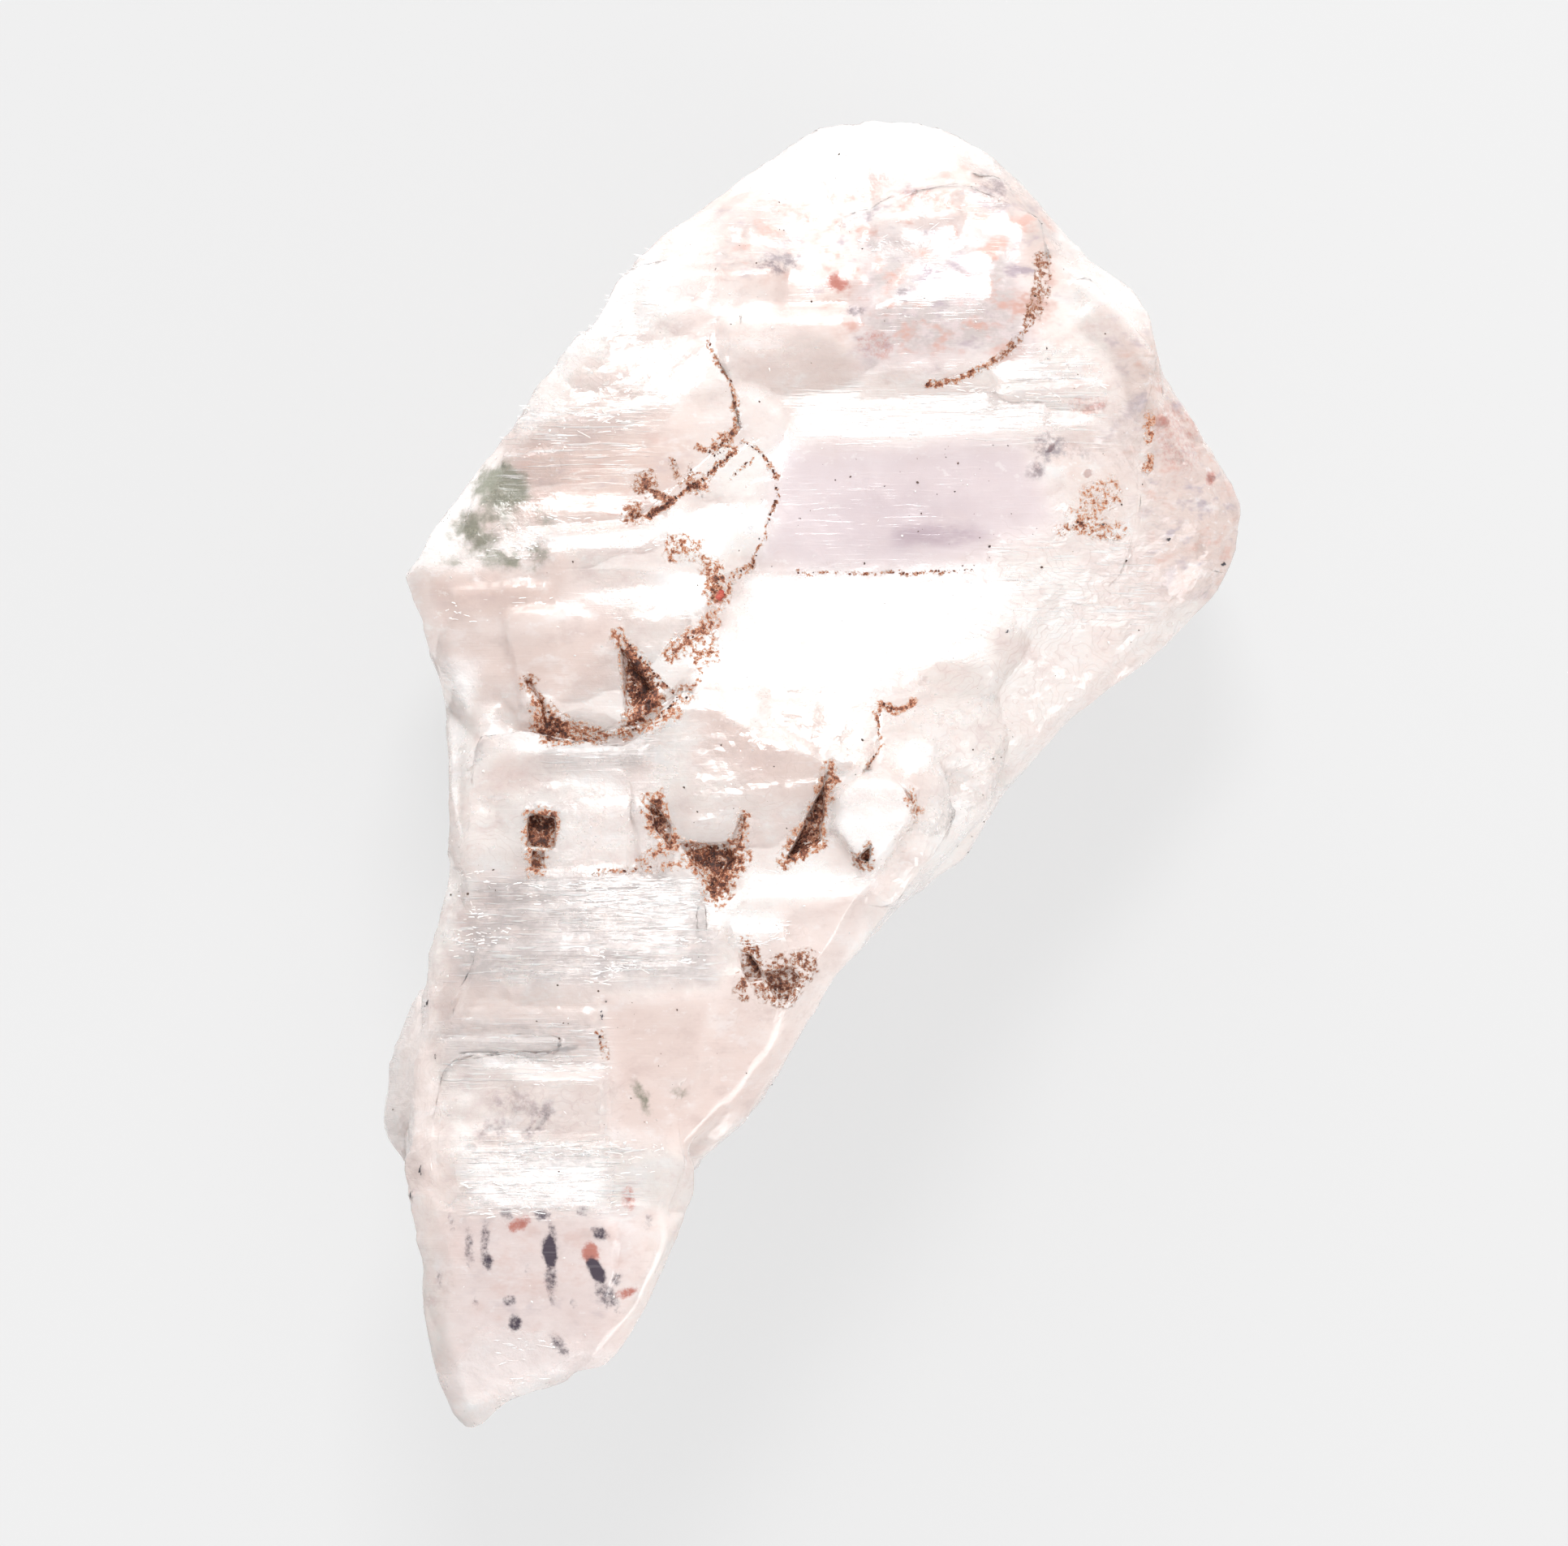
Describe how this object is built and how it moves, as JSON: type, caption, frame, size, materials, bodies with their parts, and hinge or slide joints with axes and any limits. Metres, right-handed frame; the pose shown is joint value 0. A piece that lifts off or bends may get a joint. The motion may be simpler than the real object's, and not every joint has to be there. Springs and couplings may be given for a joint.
{
  "type": "harlequin quartz crystal",
  "caption": "Natural quartz crystal, broad stepped upper end tapering to a narrow point, pale and translucent with growth ledges and rust-lined pits, lying on a flat back face.",
  "frame": {"origin": "middle of the bounding box, at the flat back face that the crystal rests on", "axes": "+Z out of the stepped front face, +Y along the quartz c-axis towards the broad upper end, +X to the right as seen from the front"},
  "size_m": [0.0242, 0.0366, 0.0156],
  "materials": {
    "quartz": "translucent, glassy on ledges, frosted on striated faces"
  },
  "bodies": {
    "root": {"quartz_crystal": "quartz"}
  },
  "joints": []
}
